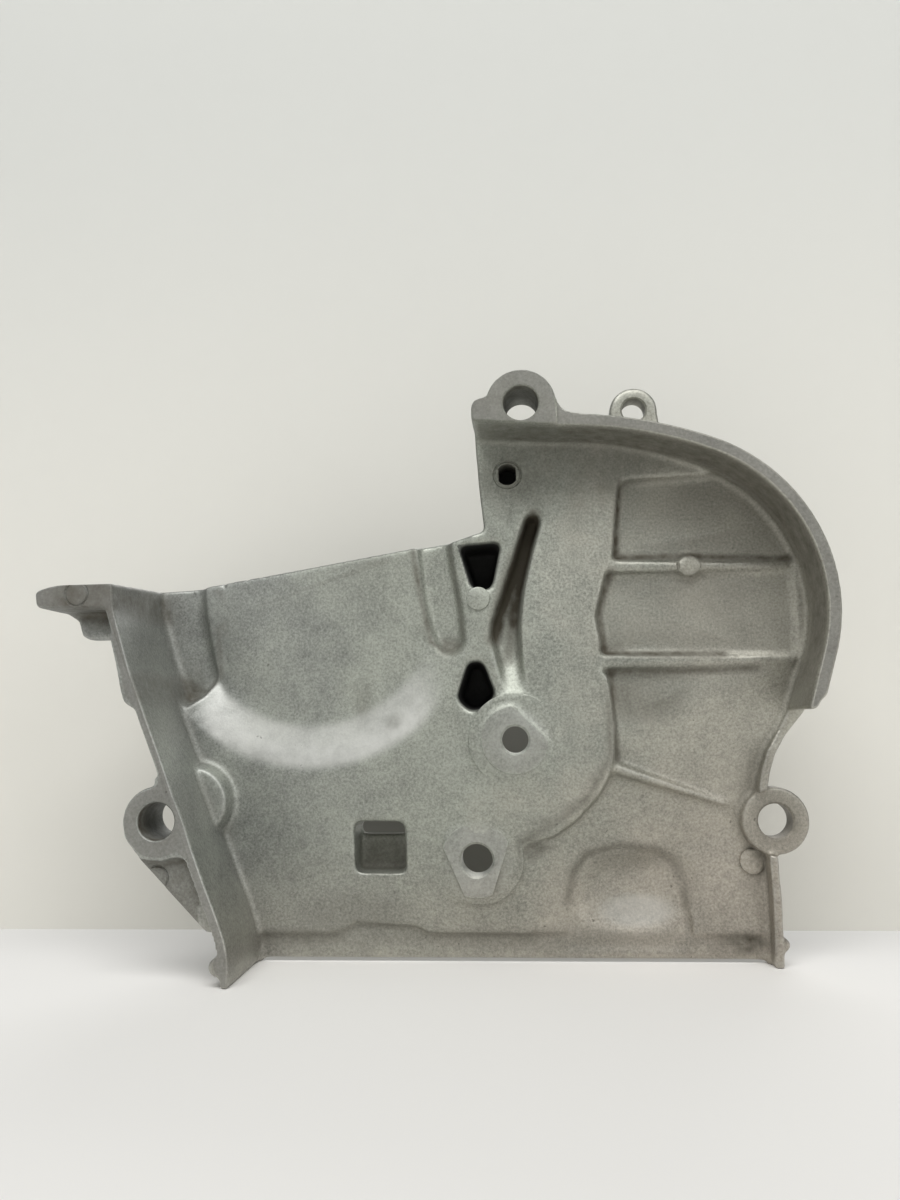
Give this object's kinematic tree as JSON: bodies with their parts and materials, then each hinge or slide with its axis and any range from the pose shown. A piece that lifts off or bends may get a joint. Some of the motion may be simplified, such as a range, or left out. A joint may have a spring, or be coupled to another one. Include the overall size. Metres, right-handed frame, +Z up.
{
  "type": "timing cover",
  "caption": "Die-cast timing drive cover: open shell with curved rim wall, sunk dish, ribbed pockets, through-bored bosses and screw ears, standing on its lower edge.",
  "frame": {"origin": "centre of the bounding box's underside: midway between the lug's tip and the round end, and midway through the depth, on the level the feet stand on", "axes": "+X runs along the lower edge from the lug's side to the round end, +Z points up from the lower edge to the top screw ear, and -Y is the side the rim faces, which is the die's drawing direction"},
  "size_m": [0.2707, 0.051, 0.2034],
  "materials": {
    "cast_aluminium": "as-cast, matt, mottled by use"
  },
  "bodies": {
    "root": {"timing_cover": "cast_aluminium"}
  },
  "joints": []
}
